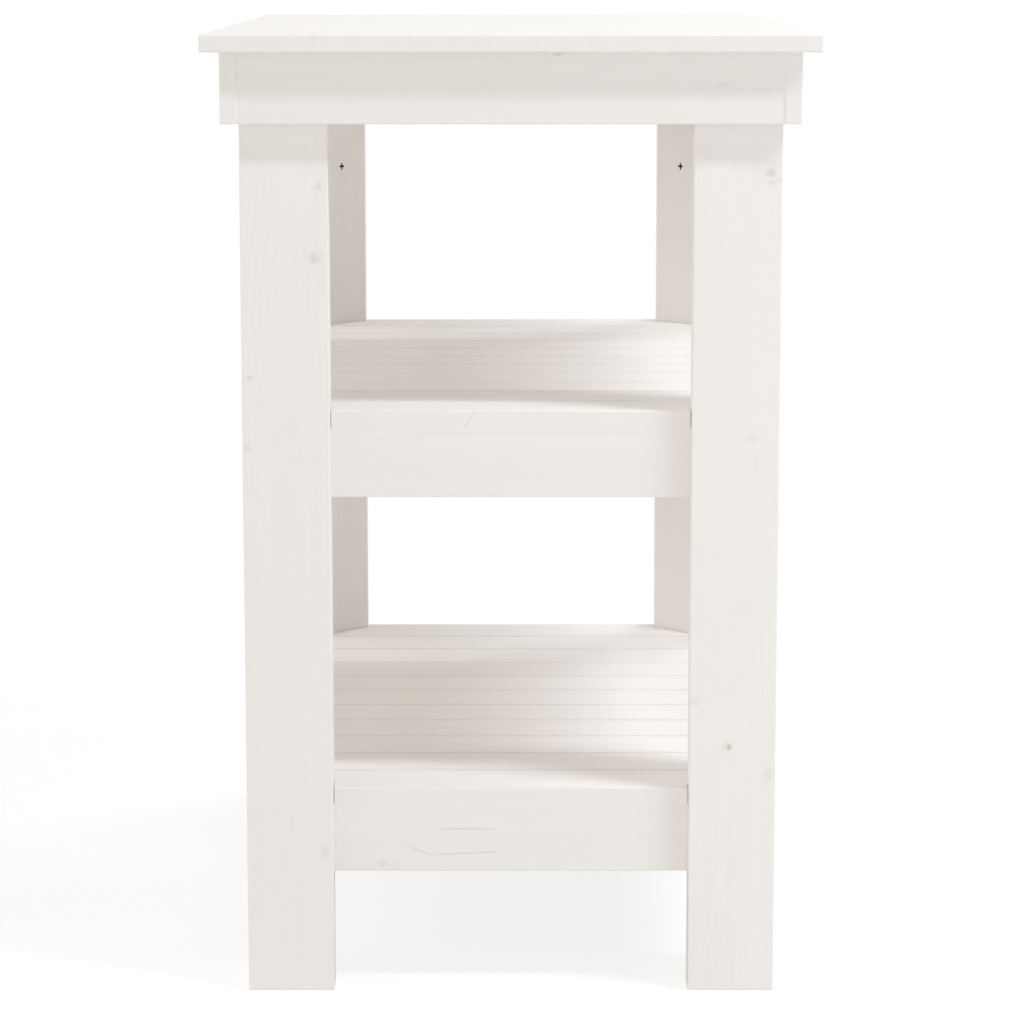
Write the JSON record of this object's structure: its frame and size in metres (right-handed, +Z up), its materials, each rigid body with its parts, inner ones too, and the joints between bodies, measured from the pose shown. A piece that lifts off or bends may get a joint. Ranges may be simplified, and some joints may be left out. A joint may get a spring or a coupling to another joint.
{
  "type": "workbench",
  "caption": "Small free-standing pine workbench with a plain board top, an apron frame, L-section legs and slatted shelves for storage beneath.",
  "frame": {"origin": "on the floor, under the middle of the top", "axes": "+X along the bench's length, to the right when facing its front; +Y from the front long side to the rear one; +Z up"},
  "size_m": [0.805, 0.5, 0.8],
  "materials": {
    "painted_pine": "thin off-white paint over pine, satin, with grain and knots showing through",
    "painted_pine_inner": "thin off-white paint over pine, as on the rest, on the battens out of sight",
    "leg_screw_steel": "white-coated steel with a bare dark cross recess",
    "small_screw_steel": "bright zinc plating",
    "beech_dowel": "raw fluted beech"
  },
  "bodies": {
    "root": {"tabletop": "painted_pine", "front_apron": "painted_pine", "rear_apron": "painted_pine", "left_apron": "painted_pine", "right_apron": "painted_pine", "front_cleat": "painted_pine_inner", "rear_cleat": "painted_pine_inner", "left_cleat": "painted_pine_inner", "right_cleat": "painted_pine_inner", "front_left_leg_end_board": "painted_pine", "front_right_leg_end_board": "painted_pine", "rear_left_leg_end_board": "painted_pine", "rear_right_leg_end_board": "painted_pine", "front_left_leg_side_board": "painted_pine", "front_right_leg_side_board": "painted_pine", "rear_left_leg_side_board": "painted_pine", "rear_right_leg_side_board": "painted_pine", "front_left_leg_post": "painted_pine", "front_right_leg_post": "painted_pine", "rear_left_leg_post": "painted_pine", "rear_right_leg_post": "painted_pine", "upper_front_rail": "painted_pine", "upper_rear_rail": "painted_pine", "upper_left_rail": "painted_pine", "upper_right_rail": "painted_pine", "lower_front_rail": "painted_pine", "lower_rear_rail": "painted_pine", "lower_left_rail": "painted_pine", "lower_right_rail": "painted_pine", "upper_slat_1": "painted_pine", "upper_slat_2": "painted_pine", "upper_slat_3": "painted_pine", "upper_slat_4": "painted_pine", "upper_slat_5": "painted_pine", "upper_slat_6": "painted_pine", "upper_slat_7": "painted_pine", "upper_slat_8": "painted_pine", "upper_slat_9": "painted_pine", "upper_slat_10": "painted_pine", "upper_slat_11": "painted_pine", "lower_slat_1": "painted_pine", "lower_slat_2": "painted_pine", "lower_slat_3": "painted_pine", "lower_slat_4": "painted_pine", "lower_slat_5": "painted_pine", "lower_slat_6": "painted_pine", "lower_slat_7": "painted_pine", "lower_slat_8": "painted_pine", "lower_slat_9": "painted_pine", "lower_slat_10": "painted_pine", "lower_slat_11": "painted_pine", "leg_screws": "leg_screw_steel", "frame_screws": "leg_screw_steel", "upper_slat_screws": "small_screw_steel", "lower_slat_screws": "small_screw_steel", "cleat_screws": "small_screw_steel", "rail_dowels": "beech_dowel", "apron_dowels": "beech_dowel", "slat_dowels": "beech_dowel"}
  },
  "joints": []
}
